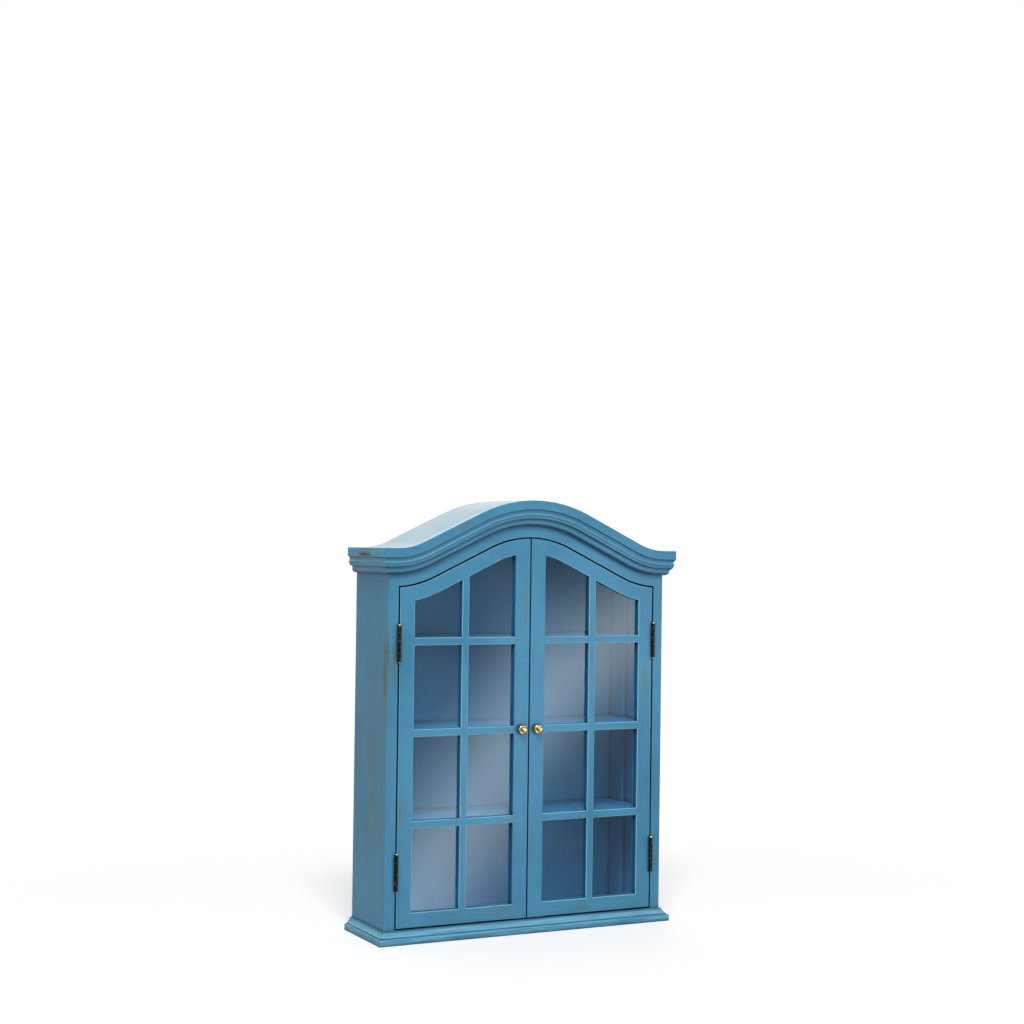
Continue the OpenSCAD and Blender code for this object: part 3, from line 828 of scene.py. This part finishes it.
def dress(piece, material):
    piece.data.materials.clear()
    piece.data.materials.append(material)


def paint_pieces():
    for node, width in EASED.items():
        finish = paint(node)
        dress(eased_piece(node, width), finish)


def dress_hardware():
    """Knobs are turned afresh; every other node that no piece replaces gets its slot's finish."""
    finishes = {
        "glass": glass_material(),
        "brass": brass_material(),
        "bronze": hardware_material("antique_bronze", BRONZE, BRONZE_RUBBED, BRONZE_SCALE),
        "steel": hardware_material("zinc_plated_steel", STEEL, STEEL_DULL, STEEL_SCALE),
        "ferrite": magnet_material(),
    }
    knobs = [node for node in frame["nodes"] if node.endswith("_knob")]
    for node in knobs:
        dress(turned_knob(node), finishes[slot_of(node)])
    for node, thing in frame["nodes"].items():
        if node not in EASED and node not in knobs:
            dress(thing, finishes[slot_of(node)])


def add_camera():
    """The photo's view, with the camera turned right, tilted up and rolled."""
    forward = Vector((
        math.sin(VIEW_TURN) * math.cos(VIEW_PITCH),
        math.cos(VIEW_TURN) * math.cos(VIEW_PITCH),
        math.sin(VIEW_PITCH),
    ))
    level = Vector((math.cos(VIEW_TURN), -math.sin(VIEW_TURN), 0.0))
    over = level.cross(forward)
    right = level * math.cos(VIEW_ROLL) + over * math.sin(VIEW_ROLL)
    up = over * math.cos(VIEW_ROLL) - level * math.sin(VIEW_ROLL)
    data = bpy.data.cameras.new("photo_view")
    data.sensor_width = SENSOR
    data.lens = VIEW_LENS
    camera = bpy.data.objects.new("photo_view", data)
    turn = Matrix((right, up, -forward)).transposed()
    camera.matrix_world = Matrix.Translation(VIEW_PLACE) @ turn.to_4x4()
    bpy.context.scene.collection.objects.link(camera)
    bpy.context.scene.camera = camera


def add_lamps():
    """Soft rectangular lamps that point at the case's middle."""
    for name, place, size, power, tint in LAMPS:
        data = bpy.data.lights.new(name, "AREA")
        data.shape = "RECTANGLE"
        data.size, data.size_y = size
        data.energy = power
        data.color = tint
        lamp = bpy.data.objects.new(name, data)
        lamp.location = place
        lamp.rotation_euler = (MIDDLE - Vector(place)).to_track_quat("-Z", "Y").to_euler()
        lamp.visible_camera = False
        bpy.context.scene.collection.objects.link(lamp)


def add_world():
    """A soft room that is white where the camera sees it, also through glass."""
    world = bpy.data.worlds.new("studio")
    bpy.context.scene.world = world
    graph = Graph(world)
    seen = graph.math("MAXIMUM", graph.ray("Is Camera Ray"), graph.ray("Is Transmission Ray"))
    whiteness = graph.scaled(graph.ray("Is Glossy Ray"), ROOM_SHEEN, seen)
    strength = graph.node(
        "ShaderNodeMapRange", {"Value": whiteness, "To Min": ROOM_LIGHT, "To Max": 1.0}
    ).outputs[0]
    background = graph.node("ShaderNodeBackground", {"Color": WHITE, "Strength": strength})
    graph.output(background.outputs[0])


def stage_plane(name, corners, material):
    """A flat sheet of the set, which isn't part of the case."""
    mesh = bpy.data.meshes.new(name)
    mesh.from_pydata(corners, [], [(0, 1, 2, 3)])
    mesh.materials.append(material)
    plane = bpy.data.objects.new(name, mesh)
    bpy.context.scene.collection.objects.link(plane)
    return plane


def floor_material():
    """White paper: it keeps the case's shadow and fades into the white background."""
    graph = new_material("floor_paper")
    place = graph.place()
    shade = graph.mix(graph.noise(place, PAPER_SCALE), PAPER_DARK, PAPER_PALE)
    matt = graph.node("ShaderNodeBsdfDiffuse", {"Color": shade}).outputs[0]
    seen = graph.ray("Is Camera Ray")
    lift = graph.emission(graph.times(seen, FLOOR_LIFT))
    near = graph.node("ShaderNodeAddShader", {0: matt, 1: lift}).outputs[0]
    far = graph.vector("LENGTH", place, result="Value")
    fade = graph.times(graph.ramp(far, FLOOR_FADE), seen)
    return graph.output(graph.shader_mix(fade, near, graph.emission(1.0)))


def add_floor():
    half = FLOOR_HALF
    floor = stage_plane(
        "floor",
        [(-half, -half, 0), (half, -half, 0), (half, half, 0), (-half, half, 0)],
        floor_material(),
    )
    floor.visible_glossy = False


def card_material(name, band):
    """A glow that is brightest along one slanting line and falls off to both sides of it."""
    graph = new_material(name)
    across = Vector((math.sin(band["turn"]), 0.0, -math.cos(band["turn"])))
    far = graph.vector("DOT_PRODUCT", graph.place(), across, result="Value")
    off = graph.math("DIVIDE", graph.math("SUBTRACT", far, band["shift"]), band["reach"])
    falloff = graph.math("POWER", math.e, graph.times(graph.times(off, off), -1.0))
    return graph.output(graph.emission(graph.scaled(falloff, CARD_POWER, CARD_DIM), CARD_COLOUR))


def add_cards():
    low, high = CARD_HEIGHTS
    for side, band in BANDS.items():
        start = band["from"]
        end = band["to"]
        card = stage_plane(
            f"room_light_{side}",
            [(start, CARD_Y, low), (end, CARD_Y, low), (end, CARD_Y, high), (start, CARD_Y, high)],
            card_material(f"room_light_{side}", band),
        )
        card.visible_camera = False
        card.visible_diffuse = False
        card.visible_shadow = False
        card.visible_transmission = False


bpy.context.scene.view_settings.view_transform = "Standard"
add_camera()
add_world()
add_lamps()
add_floor()
add_cards()
paint_pieces()
dress_hardware()
